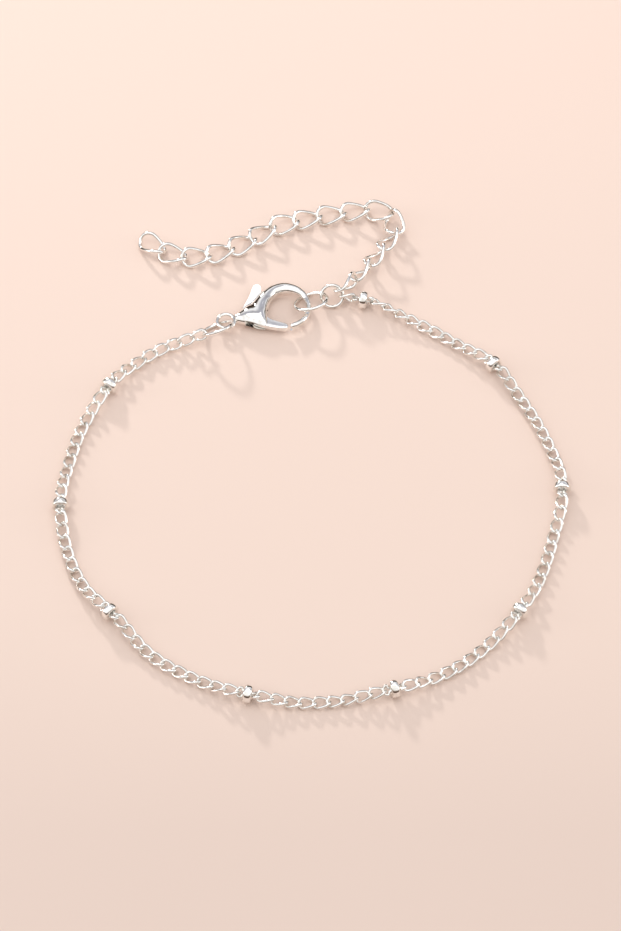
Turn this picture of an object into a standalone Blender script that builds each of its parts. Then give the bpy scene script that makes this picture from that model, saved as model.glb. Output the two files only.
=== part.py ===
"""Chain bracelet, laid open in its loop on a flat surface, in metres with +Z up.

A fine curb chain with nine disc beads runs round from a jump ring at the clasp's hook to
another at its tail. A sprung lobster clasp closes the loop, and an extender chain of wider
links lies behind it. The origin is on the surface, under the middle of the whole bracelet.
"""

import math

import bpy
import numpy as np
from mathutils import Matrix, Vector

MM = 0.001

# Play between the metal of two hooked pieces
CHAIN_PLAY = 0.05 * MM
EXTENDER_PLAY = 0.22 * MM
RING_PLAY = 0.10 * MM

# Main chain: curb links of round wire, each turned so that neighbours cross squarely
LINK_WIRE = 0.35 * MM
LINK_LENGTH = 2.20 * MM
LINK_WIDTH = 1.48 * MM
CROWN_TURN = math.radians(-45)
WIRE_SIDES = 5

# Disc beads, each on a longer link pinched to a waist
BEAD_DIAMETER = 2.00 * MM
BEAD_THICKNESS = 0.90 * MM
BEAD_RIM = 0.24 * MM
BEAD_CLEARANCE = 0.05 * MM
BEAD_LINK_LENGTH = 2.90 * MM
BEAD_LINK_EYE = 1.40 * MM
BEAD_SIDES = 12
# Where each bead sits, as a share of the chain's length from the hook's side
BEAD_SHARES = (0.018, 0.127, 0.255, 0.362, 0.478, 0.582, 0.698, 0.805, 0.919)
# Room left under the resting chain, so that no turned link dips below the surface
RESTING_ROOM = 0.03 * MM
# How far the chain takes to come down from a bead or a raised ring to the surface
DRAPE_LENGTH = 4.5 * MM

# Extender: wider curb links of the same make
EXTENDER_WIRE = 0.42 * MM
EXTENDER_LINK_LENGTH = 3.80 * MM
EXTENDER_LINK_WIDTH = 2.60 * MM
EXTENDER_LINKS = 16

# Jump rings: outside diameters and wire
RING_WIRE = 0.42 * MM
HOOK_RING_DIAMETER = 4.25 * MM
JOIN_RING_DIAMETER = 2.90 * MM
END_RING_DIAMETER = 4.00 * MM
RING_SIDES = 16
# Each ring leans about a level line through its middle: that line's heading, then the lean
HOOK_RING_LEVEL = math.radians(30)
HOOK_RING_LEAN = math.radians(-28)
JOIN_RING_LEVEL = math.radians(0)
JOIN_RING_LEAN = math.radians(48)
END_RING_LEVEL = math.radians(30)
END_RING_LEAN = math.radians(-42)
# Heading from the hook ring to the join ring, and from the tail loop to the end ring
JOIN_RING_HEADING = math.radians(18)
END_RING_HEADING = math.radians(235)
# Where the hook ring hangs: how far across the clasp from its middle, as a share of the clasp's
# width, and how far beyond the hook's limb, as a share of the ring's radius
HOOK_RING_HANG = 0.0
HOOK_RING_SHIFT = 0.3

# Lobster clasp, flat on the surface, with its tail loop to the left
CLASP_LENGTH = 8.90 * MM
CLASP_WIDTH = 6.20 * MM
CLASP_THICKNESS = 1.80 * MM
CLASP_ANGLE = math.radians(15.4)
LOOP_DIAMETER = 2.40 * MM
LOOP_WIRE = 0.42 * MM
LEVER_THICKNESS = 0.62 * MM
LEVER_CLEARANCE = 0.06 * MM
PIN_DIAMETER = 0.60 * MM

# Middle of the clasp's tail loop on the surface
CLASP_X = -9.72 * MM
CLASP_Y = 17.13 * MM

# Route of the main chain over the surface, from the hook's side clockwise, in millimetres
CHAIN_ROUTE = (
    (7.0, 19.9),
    (10.5, 18.0),
    (14.2, 15.7),
    (17.8, 13.1),
    (20.7, 10.9),
    (22.8, 7.5),
    (24.9, 3.6),
    (26.6, -0.7),
    (27.6, -4.8),
    (27.5, -8.7),
    (26.5, -12.4),
    (25.5, -16.2),
    (23.7, -20.7),
    (20.7, -25.0),
    (16.3, -29.2),
    (11.3, -31.9),
    (5.9, -33.4),
    (-0.1, -34.2),
    (-5.8, -33.6),
    (-11.0, -31.9),
    (-17.0, -28.4),
    (-21.0, -23.6),
    (-24.5, -19.8),
    (-26.5, -15.4),
    (-27.5, -10.9),
    (-27.7, -6.7),
    (-27.0, -2.7),
    (-25.8, 1.9),
    (-23.6, 6.5),
    (-21.1, 10.1),
    (-16.8, 13.4),
)

# Route of the extender over the surface, from the jump ring to its free end, in millimetres
EXTENDER_ROUTE = (
    (4.7, 22.8),
    (6.6, 25.1),
    (8.3, 27.8),
    (9.8, 30.3),
    (9.2, 32.7),
    (7.0, 33.5),
    (4.3, 33.2),
    (1.3, 32.7),
    (-1.3, 32.0),
    (-4.2, 31.1),
    (-5.9, 29.8),
    (-8.2, 28.4),
    (-10.9, 27.0),
    (-13.6, 26.5),
    (-16.2, 26.8),
    (-18.8, 28.7),
    (-20.6, 30.8),
)

# Where the chain and the extender leave the join ring, and where the chain meets the end ring
CHAIN_START_ANGLE = math.radians(0)
EXTENDER_START_ANGLE = math.radians(50)
CHAIN_END_ANGLE = math.radians(205)
# Roll of the links hooked on the rings, and the number of links over which it fades
CHAIN_START_ROLL = math.radians(-75)
CHAIN_END_ROLL = math.radians(60)
EXTENDER_START_ROLL = math.radians(-75)
ROLLED_LINKS = 6

# Clasp sections from the hook's tip round to the tail: the outside and inside edges as shares
# of the clasp's length and width, and the height as a share of its thickness
HOOK_SECTIONS = (
    # outside x, outside y, inside x, inside y, height
    (0.622, -0.505, 0.642, -0.392, 0.560),
    (0.740, -0.478, 0.738, -0.362, 0.520),
    (0.860, -0.378, 0.824, -0.285, 0.460),
    (0.955, -0.195, 0.891, -0.150, 0.420),
    (0.987, 0.020, 0.920, 0.008, 0.380),
    (0.966, 0.250, 0.895, 0.182, 0.400),
    (0.886, 0.440, 0.818, 0.300, 0.480),
    (0.752, 0.560, 0.712, 0.355, 0.620),
    (0.610, 0.568, 0.592, 0.328, 0.760),
    (0.490, 0.512, 0.492, 0.205, 0.900),
    (0.392, 0.430, 0.425, 0.040, 1.000),
    (0.316, 0.345, 0.392, -0.120, 1.000),
    (0.250, 0.262, 0.345, -0.345, 1.000),
    (0.182, 0.230, 0.252, -0.315, 1.000),
    (0.116, 0.178, 0.155, -0.225, 0.900),
    (0.053, 0.122, 0.065, -0.140, 0.660),
    (-0.014, 0.078, -0.014, -0.070, 0.500),
)

# Lever pivot, and the lever's outline from the gate's end round past the thumb piece
PIVOT = (0.270, -0.120)
LEVER_OUTLINE = (
    # x, y
    (0.596, -0.492),
    (0.612, -0.388),
    (0.500, -0.288),
    (0.410, -0.190),
    (0.365, -0.060),
    (0.350, 0.100),
    (0.355, 0.250),
    (0.385, 0.390),
    (0.425, 0.500),
    (0.435, 0.590),
    (0.405, 0.655),
    (0.352, 0.650),
    (0.315, 0.580),
    (0.270, 0.470),
    (0.190, 0.335),
    (0.120, 0.225),
    (0.110, 0.110),
    (0.160, -0.050),
    (0.190, -0.190),
    (0.280, -0.290),
    (0.390, -0.385),
    (0.500, -0.460),
)

# Outline of the room inside the clasp that the lever turns in
SLOT_OUTLINE = (
    # x, y
    (0.680, -0.700),
    (0.625, -0.330),
    (0.590, 0.020),
    (0.440, 0.050),
    (0.385, 0.120),
    (0.385, 0.240),
    (0.412, 0.370),
    (0.470, 0.700),
    (-0.150, 0.700),
    (0.000, 0.040),
    (0.086, -0.128),
    (0.200, -0.700),
)


def metal(name, colour, roughness):
    """A bare metal for one piece."""
    material = bpy.data.materials.new(name + "_metal")
    material.use_nodes = True
    shader = material.node_tree.nodes["Principled BSDF"]
    shader.inputs["Base Color"].default_value = (*colour, 1.0)
    shader.inputs["Metallic"].default_value = 1.0
    shader.inputs["Roughness"].default_value = roughness
    return material


def add_object(name, mesh, roughness=0.12):
    """A shaded object in the scene, with a metal of its own."""
    piece = bpy.data.objects.new(name, mesh)
    bpy.context.scene.collection.objects.link(piece)
    piece.data.materials.append(metal(name, (0.86, 0.86, 0.87), roughness))
    return piece


def mesh_of(name, points, faces):
    """A mesh with its faces turned outwards and its round sides smooth."""
    mesh = bpy.data.meshes.new(name)
    mesh.from_pydata([tuple(point) for point in points], [], faces)
    mesh.update()
    mesh.calc_loop_triangles()
    volume = 0.0
    for triangle in mesh.loop_triangles:
        a, b, c = (mesh.vertices[index].co for index in triangle.vertices)
        volume += a.dot(b.cross(c))
    if volume < 0:
        mesh.flip_normals()
    mesh.shade_smooth()
    mesh.set_sharp_from_angle(angle=math.radians(50))
    return mesh


def unit(vectors):
    """The same vectors with length 1."""
    vectors = np.asarray(vectors, float)
    return vectors / np.linalg.norm(vectors, axis=-1, keepdims=True)


def link_outline(length, width, wire, segments, waist=None):
    """Corners of a flat link's centre line, anticlockwise, and the index of each crown.

    Each end is a half round of an odd number of segments, whose middle one is the crown. A
    side has one corner in its middle, or two that hold it in at a waist (x, y).
    """
    reach = (length - wire) / 2
    half_width = (width - wire) / 2
    straight = reach - half_width
    turns = np.linspace(-math.pi / 2, math.pi / 2, segments + 1)
    end_x = straight + half_width * np.cos(turns) / math.cos(math.pi / 2 / segments)
    end_y = half_width * np.sin(turns)
    right = np.column_stack([end_x, end_y])
    if waist is None:
        top = np.array([[0.0, half_width]])
    else:
        top = np.array([[waist[0], waist[1]], [-waist[0], waist[1]]])
    corners = np.vstack([right, top, -right, -top])
    crown = segments // 2
    return corners, crown, len(right) + len(top) + crown


def link_points(corners, wire, crown_turn, sides):
    """The link's surface as rings of points, one ring for each corner of its centre line.

    The flat link lies along X. Its plane turns about X from one crown to the other, and
    each ring has one flat side that faces the link's middle.
    """
    reach = corners[:, 0].max()
    turn = crown_turn * corners[:, 0] / reach
    centres = np.column_stack(
        [corners[:, 0], corners[:, 1] * np.cos(turn), corners[:, 1] * np.sin(turn)]
    )
    before = unit(centres - np.roll(centres, 1, axis=0))
    after = unit(np.roll(centres, -1, axis=0) - centres)
    along = unit(before + after)
    flat_before = unit(corners - np.roll(corners, 1, axis=0))
    flat_after = unit(np.roll(corners, -1, axis=0) - corners)
    flat_along = unit(flat_before + flat_after)
    inward = np.column_stack(
        [-flat_along[:, 1], flat_along[:, 0] * np.cos(turn), flat_along[:, 0] * np.sin(turn)]
    )
    inward = unit(inward - along * (inward * along).sum(axis=1, keepdims=True))
    across = np.cross(along, inward)
    mitre = 1 / np.sqrt((1 + (before * after).sum(axis=1)) / 2)
    angles = (np.arange(sides) + 0.5) * 2 * math.pi / sides
    radius = wire / 2
    rings = (
        centres[:, None]
        + radius * np.cos(angles)[None, :, None] * (inward * mitre[:, None])[:, None]
        + radius * np.sin(angles)[None, :, None] * across[:, None]
    )
    return rings


def ring_faces(count, sides):
    """The four-sided faces of a closed tube, one row for each step along it."""
    step = np.arange(count)[:, None]
    side = np.arange(sides)[None, :]
    following = (step + 1) % count
    beside = (side + 1) % sides
    corners = [step * sides + side, step * sides + beside, following * sides + beside]
    corners.append(following * sides + side)
    return np.stack(np.broadcast_arrays(*corners), axis=-1)


def flat_depth(wire, sides):
    """How far a faceted wire's flat side is from its middle."""
    return wire / 2 * math.cos(math.pi / sides)


def link_pitch(length, wire, play):
    """Distance between the two points where a link bears on its neighbours."""
    return length - wire - 2 * flat_depth(wire, WIRE_SIDES) - play


def smooth_curve(points, samples=24):
    """A rounded curve through the points of a route, read at many places."""
    points = np.asarray(points, float)
    ends = np.vstack([2 * points[0] - points[1], points, 2 * points[-1] - points[-2]])
    share = np.linspace(0, 1, samples, endpoint=False)[:, None]
    pieces = []
    for a, b, c, d in zip(ends, ends[1:], ends[2:], ends[3:]):
        first = 2 * b + (c - a) * share
        second = (2 * a - 5 * b + 4 * c - d) * share**2
        third = (3 * b - 3 * c + d - a) * share**3
        pieces.append((first + second + third) / 2)
    return np.vstack(pieces + [points[-1:]])


def step_along(curve, strides):
    """Points on a curve whose straight distances from one to the next are the strides."""
    places = [curve[0]]
    start = 0
    for stride in strides:
        rest = np.linalg.norm(curve[start:] - places[-1], axis=1)
        beyond = np.flatnonzero(rest >= stride)
        if len(beyond) == 0:
            last = unit(curve[-1] - curve[-2])
            places.append(curve[-1] + last * (stride - rest[-1]))
            start = len(curve) - 1
            continue
        after = beyond[0]
        share = (stride - rest[after - 1]) / (rest[after] - rest[after - 1])
        here = curve[start + after - 1]
        places.append(here + share * (curve[start + after] - here))
        start = start + after - 1
    return np.array(places)


def lying_height(rings, roll=0.0):
    """Height of a rolled link's middle when the link lies on the surface."""
    return -(rings[..., 1] * math.sin(roll) + rings[..., 2] * math.cos(roll)).min()


def fading_rolls(count, first, last=0.0):
    """Roll of each link: the end links turn to meet their rings, and the turn fades inwards."""
    index = np.arange(count)
    before = np.clip(1 - index / ROLLED_LINKS, 0, 1)
    after = np.clip(1 - (count - 1 - index) / ROLLED_LINKS, 0, 1)
    return first * before + last * after


def lifted(heights, rings, rolls, room):
    """Heights of the joints, raised where a rolled link beside them needs more."""
    needed = np.array([lying_height(rings, roll) + room for roll in rolls])
    beside = np.maximum(np.append(needed, 0.0), np.append(0.0, needed))
    return np.maximum(heights, beside)


def frame_between(start, end, roll=0.0):
    """Axes (along, left, up) and middle of a link that reaches from start to end."""
    along = unit(end - start)
    left = unit(np.cross([0.0, 0.0, 1.0], along))
    up = np.cross(along, left)
    turned = math.cos(roll) * left + math.sin(roll) * up
    return np.array([along, turned, np.cross(along, turned)]), (start + end) / 2


def place(points, frame, middle):
    """Points of a link in its own axes, put where the link lies."""
    return points @ frame + middle


class JumpRing:
    """A round ring of wire that leans about one level line through its middle."""

    def __init__(self, name, diameter, middle, level_angle, lean):
        self.name = name
        self.radius = (diameter - RING_WIRE) / 2
        self.level = np.array([math.cos(level_angle), math.sin(level_angle), 0.0])
        flat = np.array([-math.sin(level_angle), math.cos(level_angle), 0.0])
        self.rise = flat * math.cos(lean) + np.array([0.0, 0.0, math.sin(lean)])
        self.level_angle = level_angle
        low = self.radius * abs(math.sin(lean)) + RING_WIRE / 2
        self.middle = np.array([middle[0], middle[1], low])

    def radial(self, angle):
        """Direction from the middle to the wire, at an angle seen in the ring's own plane."""
        turn = angle - self.level_angle
        return self.level * math.cos(turn) + self.rise * math.sin(turn)

    def bearing(self, angle, play):
        """The point inside the ring that a link hooked on at this angle bears on."""
        return self.middle + self.radial(angle) * (self.radius - RING_WIRE / 2 - play / 2)

    def build(self):
        """The ring as an object of its own, its mesh about its middle."""
        turns = np.arange(RING_SIDES) * 2 * math.pi / RING_SIDES
        sides = WIRE_SIDES + 1
        angles = (np.arange(sides) + 0.5) * 2 * math.pi / sides
        outward = np.outer(np.cos(turns), self.level) + np.outer(np.sin(turns), self.rise)
        normal = np.cross(self.level, self.rise)
        reach = self.radius - RING_WIRE / 2 * np.cos(angles)
        points = outward[:, None] * reach[None, :, None]
        points = points + (RING_WIRE / 2 * np.sin(angles))[None, :, None] * normal
        faces = ring_faces(RING_SIDES, sides).reshape(-1, 4).tolist()
        piece = add_object(self.name, mesh_of(self.name, points.reshape(-1, 3), faces))
        piece.location = Vector(self.middle)
        return piece


def clasp_point(share_x, share_y):
    """A point of the clasp in metres from the middle of its tail loop."""
    tail = LOOP_DIAMETER / 2
    return np.array([tail + share_x * CLASP_LENGTH, share_y * CLASP_WIDTH])


def on_surface(local):
    """A point of the clasp's own plane, as x and y on the surface."""
    turn = np.array(
        [
            [math.cos(CLASP_ANGLE), math.sin(CLASP_ANGLE)],
            [-math.sin(CLASP_ANGLE), math.cos(CLASP_ANGLE)],
        ]
    )
    return np.asarray(local) @ turn + np.array([CLASP_X, CLASP_Y])


def heading(angle):
    """The direction of an angle, over the surface."""
    return np.array([math.cos(angle), math.sin(angle)])


def place_rings():
    """The three jump rings, each reaching into what it hooks on."""
    loop = (LOOP_DIAMETER - LOOP_WIRE) / 2
    hook_radius = (HOOK_RING_DIAMETER - RING_WIRE) / 2
    join_radius = (JOIN_RING_DIAMETER - RING_WIRE) / 2
    end_radius = (END_RING_DIAMETER - RING_WIRE) / 2
    limb = HOOK_SECTIONS[3]
    limb_middle = clasp_point((limb[0] + limb[2]) / 2, HOOK_RING_HANG)
    hook = on_surface(limb_middle + np.array([HOOK_RING_SHIFT * hook_radius, 0.0]))
    join_away = hook_radius + join_radius - 1.2 * RING_WIRE - RING_PLAY
    join = hook + join_away * heading(JOIN_RING_HEADING)
    end_away = loop + end_radius - 2 * (RING_WIRE + RING_PLAY)
    end = on_surface([0, 0]) + end_away * heading(END_RING_HEADING)
    return (
        JumpRing("hook_ring", HOOK_RING_DIAMETER, hook, HOOK_RING_LEVEL, HOOK_RING_LEAN),
        JumpRing("join_ring", JOIN_RING_DIAMETER, join, JOIN_RING_LEVEL, JOIN_RING_LEAN),
        JumpRing("end_ring", END_RING_DIAMETER, end, END_RING_LEVEL, END_RING_LEAN),
    )


def drape(distance, rise):
    """Height over the resting chain, at a distance from something that lifts it."""
    share = np.clip(np.abs(distance) / DRAPE_LENGTH, 0, 1)
    return rise * (0.5 + 0.5 * np.cos(math.pi * share))


def bead_links(count, pitch, bead_pitch):
    """Index of each link that carries a bead, nearest its share of the chain's length."""
    plain = (count - len(BEAD_SHARES)) * pitch
    total = plain + len(BEAD_SHARES) * bead_pitch
    found = []
    for order, share in enumerate(BEAD_SHARES):
        before = share * total - order * bead_pitch - bead_pitch / 2
        found.append(max(1, round(before / pitch) + order))
    return found


def chain_joints(start, end, count, rings, rolls):
    """Bearing points of the main chain's links, its pitches, and the links with beads."""
    low = lying_height(rings) + RESTING_ROOM
    pitch = link_pitch(LINK_LENGTH, LINK_WIRE, CHAIN_PLAY)
    bead_pitch = link_pitch(BEAD_LINK_LENGTH, LINK_WIRE, CHAIN_PLAY)
    beads = bead_links(count, pitch, bead_pitch)
    pitches = np.full(count, pitch)
    pitches[beads] = bead_pitch
    along = np.concatenate([[0.0], np.cumsum(pitches)])
    heights = low + drape(along, start[2] - low)
    heights = np.maximum(heights, low + drape(along - along[-1], end[2] - low))
    for bead in beads:
        middle = (along[bead] + along[bead + 1]) / 2
        beyond = np.maximum(0, np.abs(along - middle) - bead_pitch / 2)
        heights = np.maximum(heights, low + drape(beyond, BEAD_DIAMETER / 2 - low))
    heights = lifted(heights, rings, rolls, RESTING_ROOM)
    heights[0] = start[2]
    heights[-1] = end[2]
    route = [start[:2]] + [np.array(point) * MM for point in CHAIN_ROUTE] + [end[:2]]
    curve = smooth_curve(route)

    def walk(ease):
        """The joints with every pitch eased by one factor."""
        strides = np.sqrt((pitches * ease) ** 2 - np.diff(heights) ** 2)
        return step_along(curve, strides)

    shortest, longest = 0.9, 1.1
    for _ in range(40):
        ease = (shortest + longest) / 2
        reached = walk(ease)[-1]
        passed = np.dot(reached - end[:2], curve[-1] - curve[-2]) > 0
        if passed:
            longest = ease
        else:
            shortest = ease
    flat = walk(ease)
    flat[-1] = end[:2]
    return np.column_stack([flat, heights]), ease, beads


def chain_count(start, end):
    """Number of links that fill the chain's route."""
    pitch = link_pitch(LINK_LENGTH, LINK_WIRE, CHAIN_PLAY)
    extra = link_pitch(BEAD_LINK_LENGTH, LINK_WIRE, CHAIN_PLAY) - pitch
    route = [start[:2]] + [np.array(point) * MM for point in CHAIN_ROUTE] + [end[:2]]
    length = np.linalg.norm(np.diff(smooth_curve(route), axis=0), axis=1).sum()
    return math.ceil((length - len(BEAD_SHARES) * extra) / pitch)


def neck(ours, theirs, points):
    """Faces that join two facing flat sides, each given by its corners in order."""
    best = None
    for shift in range(4):
        matched = [theirs[(shift - index) % 4] for index in range(4)]
        span = np.linalg.norm(points[ours] - points[matched], axis=1).sum()
        if best is None or span < best[0]:
            best = (span, matched)
    matched = best[1]
    faces = []
    for index in range(4):
        following = (index + 1) % 4
        faces.append([ours[index], ours[following], matched[following], matched[index]])
    return faces


def chain_piece(name, links):
    """Consecutive links as one body, joined by a small neck where each bears on the next."""
    points = []
    faces = []
    flats = []
    offset = 0
    for rings, crowns in links:
        count, sides = rings.shape[:2]
        rows = ring_faces(count, sides) + offset
        flats.append([rows[crown, sides - 1].tolist() for crown in crowns])
        open_sides = np.ones((count, sides), bool)
        if len(flats) > 1:
            open_sides[crowns[1], sides - 1] = False
        if len(flats) < len(links):
            open_sides[crowns[0], sides - 1] = False
        faces.extend(rows[open_sides].tolist())
        points.append(rings.reshape(-1, 3))
        offset += count * sides
    points = np.vstack(points)
    for (right, _), (_, left) in zip(flats, flats[1:]):
        faces.extend(neck(right, left, points))
    return add_object(name, mesh_of(name, points, faces))


def bead_mesh():
    """A round disc with turned rims and a bore, its axis along X."""
    outside = BEAD_DIAMETER / 2
    half = BEAD_THICKNESS / 2
    bore = bead_waist()[1] + LINK_WIRE / 2 + BEAD_CLEARANCE
    face = half - BEAD_RIM / 2
    profile = [
        (-half, bore),
        (-half, outside - BEAD_RIM),
        (-face + BEAD_RIM / 2, outside),
        (face - BEAD_RIM / 2, outside),
        (half, outside - BEAD_RIM),
        (half, bore),
    ]
    turns = np.arange(BEAD_SIDES) * 2 * math.pi / BEAD_SIDES
    points = []
    for turn in turns:
        for along, radius in profile:
            points.append((along, radius * math.cos(turn), radius * math.sin(turn)))
    faces = ring_faces(BEAD_SIDES, len(profile)).reshape(-1, 4).tolist()
    return mesh_of("bead", points, faces)


def bead_waist():
    """Corner of a bead link's pinched waist: half the bead's thickness out, wires together."""
    return BEAD_THICKNESS / 2 + 3 * BEAD_CLEARANCE, LINK_WIRE / 2 + BEAD_CLEARANCE / 2


def build_chain(join_ring, end_ring):
    """The main chain in two halves, and its beads."""
    plain, right, left = link_outline(LINK_LENGTH, LINK_WIDTH, LINK_WIRE, 3)
    plain = (link_points(plain, LINK_WIRE, CROWN_TURN, WIRE_SIDES), (right, left))
    held, right, left = link_outline(
        BEAD_LINK_LENGTH, BEAD_LINK_EYE, LINK_WIRE, 3, waist=bead_waist()
    )
    held = (link_points(held, LINK_WIRE, CROWN_TURN, WIRE_SIDES), (right, left))
    start = join_ring.bearing(CHAIN_START_ANGLE, RING_PLAY)
    end = end_ring.bearing(CHAIN_END_ANGLE, RING_PLAY)
    count = chain_count(start, end)
    rolls = fading_rolls(count, CHAIN_START_ROLL, CHAIN_END_ROLL)
    joints, ease, beads = chain_joints(start, end, count, plain[0], rolls)
    links = []
    for index in range(count):
        frame, middle = frame_between(joints[index], joints[index + 1], rolls[index])
        rings, crowns = held if index in beads else plain
        links.append((place(rings, frame, middle), crowns))
        if index not in beads:
            continue
        name = "bead_" + str(beads.index(index) + 1)
        bead = add_object(name, bead_mesh(), 0.08)
        axes = Matrix(frame.tolist()).transposed().to_4x4()
        bead.matrix_world = Matrix.Translation(Vector(middle)) @ axes
    half = beads[len(beads) // 2]
    chain_piece("chain_right", links[:half])
    chain_piece("chain_left", links[half:])


def build_extender(join_ring):
    """The extender's links, each an object of its own, from the join ring to the free end."""
    corners, right, left = link_outline(
        EXTENDER_LINK_LENGTH, EXTENDER_LINK_WIDTH, EXTENDER_WIRE, 5
    )
    rings = link_points(corners, EXTENDER_WIRE, CROWN_TURN, WIRE_SIDES)
    faces = ring_faces(len(corners), WIRE_SIDES).reshape(-1, 4).tolist()
    start = join_ring.bearing(EXTENDER_START_ANGLE, EXTENDER_PLAY)
    low = lying_height(rings)
    pitch = link_pitch(EXTENDER_LINK_LENGTH, EXTENDER_WIRE, EXTENDER_PLAY)
    along = np.arange(EXTENDER_LINKS + 1) * pitch
    rolls = fading_rolls(EXTENDER_LINKS, EXTENDER_START_ROLL)
    heights = lifted(low + drape(along, start[2] - low), rings, rolls, 0.0)
    heights[0] = start[2]
    strides = np.sqrt(pitch**2 - np.diff(heights) ** 2)
    route = [start[:2]] + [np.array(point) * MM for point in EXTENDER_ROUTE]
    joints = np.column_stack([step_along(smooth_curve(route), strides), heights])
    for index in range(EXTENDER_LINKS):
        frame, middle = frame_between(joints[index], joints[index + 1], rolls[index])
        name = "extender_link_" + str(index + 1)
        mesh = mesh_of(name, rings.reshape(-1, 3), faces)
        link = add_object(name, mesh)
        axes = Matrix(frame.tolist()).transposed().to_4x4()
        link.matrix_world = Matrix.Translation(Vector(middle)) @ axes


def helper(name, mesh, place_like):
    """A hidden shape that cuts or fills another, in the same place as that one."""
    piece = bpy.data.objects.new(name, mesh)
    bpy.context.scene.collection.objects.link(piece)
    piece.hide_render = True
    piece.display_type = "WIRE"
    piece.matrix_world = place_like
    return piece


def combine(piece, operation, tool):
    """An exact Boolean of a piece with a hidden helper."""
    modifier = piece.modifiers.new(tool.name, "BOOLEAN")
    modifier.operation = operation
    modifier.object = tool
    modifier.solver = "EXACT"


def plate_mesh(name, outline, thickness):
    """A flat plate of an outline, level and centred on height 0."""
    count = len(outline)
    low = [(x, y, -thickness / 2) for x, y in outline]
    high = [(x, y, thickness / 2) for x, y in outline]
    sides = []
    for index in range(count):
        following = (index + 1) % count
        sides.append([index, following, count + following, count + index])
    caps = [list(reversed(range(count))), list(range(count, 2 * count))]
    return mesh_of(name, low + high, sides + caps)


def post_mesh(name, middle, diameter, height, sides=12):
    """An upright round post about a point, centred on height 0."""
    turns = np.arange(sides) * 2 * math.pi / sides
    outline = [
        (middle[0] + diameter / 2 * math.cos(turn), middle[1] + diameter / 2 * math.sin(turn))
        for turn in turns
    ]
    return plate_mesh(name, outline, height)


def clasp_body_mesh():
    """The hook, spine and tail of the clasp as rounded sections from its tip to its tail."""
    rings = []
    for outer_x, outer_y, inner_x, inner_y, height in HOOK_SECTIONS:
        outer = clasp_point(outer_x, outer_y)
        inner = clasp_point(inner_x, inner_y)
        middle = (outer + inner) / 2
        reach = (outer - inner) / 2
        half = height * CLASP_THICKNESS / 2
        ring = []
        for share, level in ((1, 0.42), (0.62, 1), (-0.62, 1), (-1, 0.42)):
            ring.append((*(middle + reach * share), half * level))
        for share, level in ((-1, -0.42), (-0.62, -1), (0.62, -1), (1, -0.42)):
            ring.append((*(middle + reach * share), half * level))
        rings.append(ring)
    sides = len(rings[0])
    points = [point for ring in rings for point in ring]
    faces = ring_faces(len(rings), sides)[:-1].reshape(-1, 4).tolist()
    faces.append(list(reversed(range(sides))))
    faces.append([(len(rings) - 1) * sides + side for side in range(sides)])
    return mesh_of("clasp_body", points, faces)


def tail_loop_mesh():
    """The round loop at the clasp's tail, level, about its own middle."""
    turns = np.arange(14) * 2 * math.pi / 14
    angles = (np.arange(6) + 0.5) * 2 * math.pi / 6
    radius = (LOOP_DIAMETER - LOOP_WIRE) / 2
    points = []
    for turn in turns:
        for angle in angles:
            reach = radius - LOOP_WIRE / 2 * math.cos(angle)
            height = LOOP_WIRE / 2 * math.sin(angle)
            points.append((reach * math.cos(turn), reach * math.sin(turn), height))
    return mesh_of("tail_loop", points, ring_faces(14, 6).reshape(-1, 4).tolist())


def build_clasp():
    """The clasp's body with its lever on the pin."""
    surface = on_surface([0, 0])
    here = Matrix.Translation((*surface, CLASP_THICKNESS / 2))
    here = here @ Matrix.Rotation(CLASP_ANGLE, 4, "Z")
    body = add_object("clasp_body", clasp_body_mesh(), 0.06)
    body.matrix_world = here
    pivot = clasp_point(*PIVOT)
    slot_outline = [tuple(clasp_point(x, y)) for x, y in SLOT_OUTLINE]
    slot_height = LEVER_THICKNESS + 2 * LEVER_CLEARANCE
    slot = helper("lever_slot", plate_mesh("lever_slot", slot_outline, slot_height), here)
    pin_height = (slot_height + CLASP_THICKNESS) / 2
    pin = helper("lever_pin", post_mesh("lever_pin", pivot, PIN_DIAMETER, pin_height), here)
    loop = helper("tail_loop", tail_loop_mesh(), here)
    combine(body, "UNION", loop)
    combine(body, "DIFFERENCE", slot)
    combine(body, "UNION", pin)

    hinge = bpy.data.objects.new("lever_hinge", None)
    bpy.context.scene.collection.objects.link(hinge)
    hinge.matrix_world = here @ Matrix.Translation((*pivot, 0))
    outline = [tuple(clasp_point(x, y) - pivot) for x, y in LEVER_OUTLINE]
    lever = add_object("clasp_lever", plate_mesh("clasp_lever", outline, LEVER_THICKNESS), 0.1)
    lever.parent = hinge
    bore_diameter = PIN_DIAMETER + 2 * LEVER_CLEARANCE
    bore_mesh = post_mesh("lever_bore", (0, 0), bore_diameter, 2 * LEVER_THICKNESS)
    bore = helper("lever_bore", bore_mesh, hinge.matrix_world)
    combine(lever, "DIFFERENCE", bore)


def clear_scene():
    """Remove what the scene starts with."""
    for piece in list(bpy.data.objects):
        bpy.data.objects.remove(piece, do_unlink=True)


def build():
    """Every piece of the bracelet."""
    clear_scene()
    hook_ring, join_ring, end_ring = place_rings()
    for ring in (hook_ring, join_ring, end_ring):
        ring.build()
    build_clasp()
    build_chain(join_ring, end_ring)
    build_extender(join_ring)


build()
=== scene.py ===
"""Chain bracelet: the finished surfaces of its chain, beads, jump rings, clasp and extender.

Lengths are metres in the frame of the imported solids: +Z up from the surface that the bracelet
lies on, +Y from the loop towards the clasp. Each piece stands for the plain solid of its name.
"""

import logging
import math
from dataclasses import dataclass, field
from enum import Enum

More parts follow.
